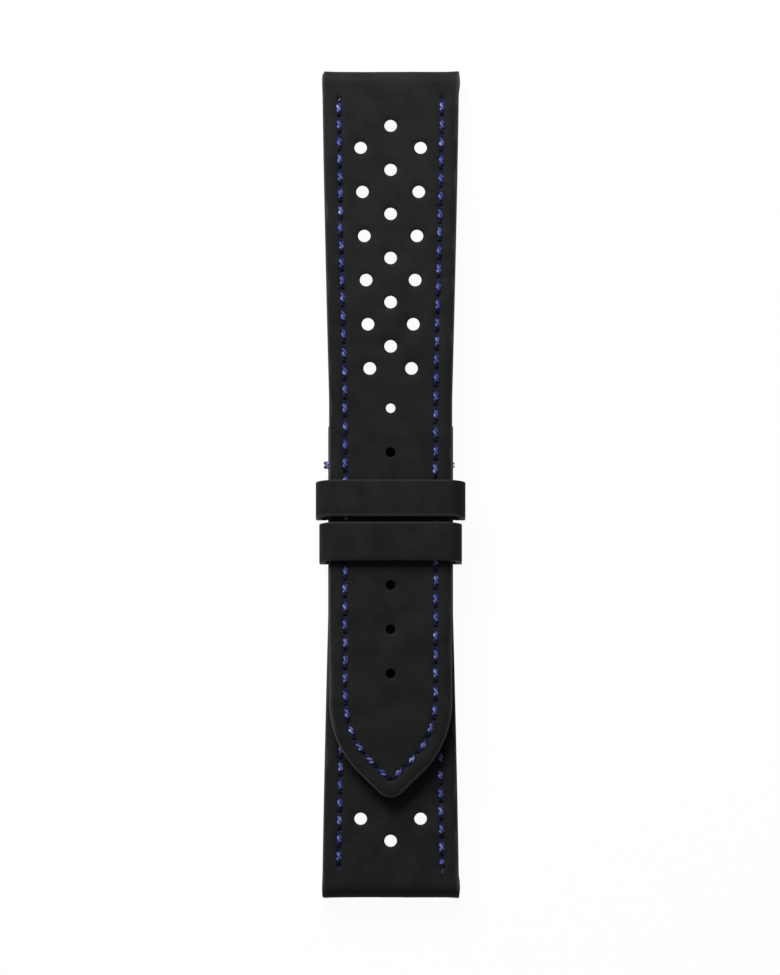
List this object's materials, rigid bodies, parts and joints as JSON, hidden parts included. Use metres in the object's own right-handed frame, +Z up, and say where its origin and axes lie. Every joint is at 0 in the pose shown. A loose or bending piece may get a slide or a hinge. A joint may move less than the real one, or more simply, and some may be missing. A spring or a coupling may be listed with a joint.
{
  "type": "watch strap",
  "caption": "Two-piece rubber rally watch strap with perforations, contrast stitching, pointed tip, folded bar bores, and a fixed and a floating keeper.",
  "frame": {"origin": "centre of the strap's box at the surface that the strap lies on", "axes": "+X across the strap, +Y along it towards the long piece's lug end, +Z up through the stack from the short piece to the long piece"},
  "size_m": [0.0238, 0.131, 0.0081],
  "materials": {
    "skin_rubber": "smooth matte black rubber",
    "lining_rubber": "finely grained matte black rubber",
    "padding_core": "dense black filler",
    "reinforcing_tape": "woven black tape",
    "blue_thread": "twisted royal blue polyester thread"
  },
  "bodies": {
    "short_strap": {"short_top_skin": "skin_rubber", "short_padding": "padding_core", "short_reinforcement": "reinforcing_tape", "short_lining": "lining_rubber", "short_needle_thread": "blue_thread", "short_bobbin_thread": "blue_thread", "keeper_tack_thread": "blue_thread", "fixed_keeper_skin": "skin_rubber", "fixed_keeper_lining": "lining_rubber"},
    "long_strap": {"long_top_skin": "skin_rubber", "long_padding": "padding_core", "long_reinforcement": "reinforcing_tape", "long_lining": "lining_rubber", "long_needle_thread": "blue_thread", "long_bobbin_thread": "blue_thread"},
    "floating_keeper": {"floating_keeper_skin": "skin_rubber", "floating_keeper_lining": "lining_rubber"}
  },
  "joints": [
    {"name": "long_strap_slide", "type": "slide", "parent": "short_strap", "child": "long_strap", "axis": [0, 1, 0], "range_m": [-0.007, 0.052]},
    {"name": "floating_keeper_slide", "type": "slide", "parent": "short_strap", "child": "floating_keeper", "axis": [0, -1, 0], "range_m": [0, 0.016]}
  ]
}
